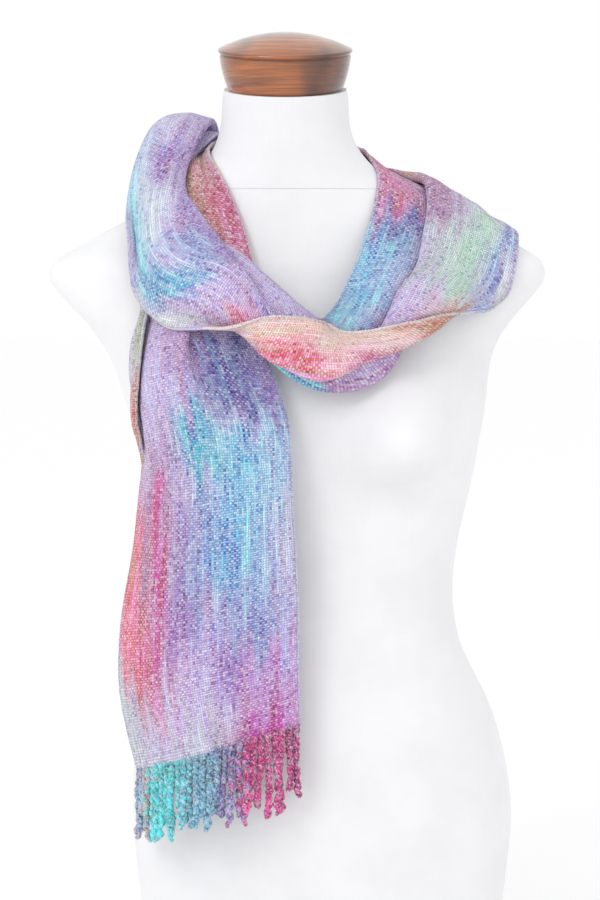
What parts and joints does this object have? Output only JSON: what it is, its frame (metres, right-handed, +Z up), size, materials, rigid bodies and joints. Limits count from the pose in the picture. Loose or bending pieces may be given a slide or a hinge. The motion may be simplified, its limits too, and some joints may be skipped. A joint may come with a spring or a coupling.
{
  "type": "display dress form with draped scarf",
  "caption": "Armless female display dress form in white jersey with a turned wood neck cap and pole socket, wearing a hand-woven fringed scarf looped round the neck.",
  "frame": {"origin": "mouth of the pole socket, in the plane that the form's rim stands on", "axes": "+Z up along the pole, -Y is the form's front, +X is the right-hand side seen from the front"},
  "size_m": [0.4237, 0.2789, 0.8129],
  "materials": {
    "jersey": "matte fine-knit white jersey",
    "shell": "moulded fibre-reinforced resin",
    "plywood": "raw birch plywood",
    "cap_wood": "stained hardwood under gloss lacquer",
    "brass": "turned",
    "steel": "zinc-plated steel",
    "socket_steel": "black powder coat",
    "knob_plastic": "black moulded",
    "scarf_weave": "hand-woven variegated chenille, pastel blue, lilac, aqua and rose",
    "scarf_yarn": "twisted chenille yarn ends, aqua, violet and magenta"
  },
  "bodies": {
    "form": {"torso_cover": "jersey", "neck_cover": "jersey", "torso_shell_front": "shell", "torso_shell_back": "shell", "neck_plate": "plywood", "neck_plate_screws": "steel", "cap_bushing": "brass", "base_plate": "plywood", "base_blocks": "plywood", "base_screws": "steel", "pole_sleeve": "socket_steel", "sleeve_collar": "socket_steel", "sleeve_flange": "socket_steel", "sleeve_plug": "knob_plastic", "flange_bolts": "steel", "flange_tnuts": "steel", "scarf_cloth": "scarf_weave", "scarf_front_fringe": "scarf_yarn", "scarf_back_fringe": "scarf_yarn"},
    "peg": {"cap_peg": "steel"},
    "cap": {"neck_cap": "cap_wood"},
    "lock_screw": {"lock_screw": "steel"},
    "lock_knob": {"lock_knob": "knob_plastic"}
  },
  "joints": [
    {"name": "cap_lift", "type": "slide", "parent": "form", "child": "peg", "axis": [0, -0.1736, 0.9848], "range_m": [0, 0.04]},
    {"name": "cap_turn", "type": "hinge", "parent": "peg", "child": "cap", "pos_m": [-0.0315, -0.006, 0.762], "axis": [0, -0.1736, 0.9848], "continuous": true},
    {"name": "lock_advance", "type": "slide", "parent": "form", "child": "lock_screw", "axis": [0, -1, 0], "range_m": [0, 0.0033]},
    {"name": "lock_turn", "type": "hinge", "parent": "lock_screw", "child": "lock_knob", "pos_m": [0, 0.04, 0.024], "axis": [0, -1, 0], "range_deg": [0, 951]}
  ],
  "couplings": [
    {"joint": "lock_turn", "follows": "lock_advance", "rad_per_m": 5026.5}
  ]
}
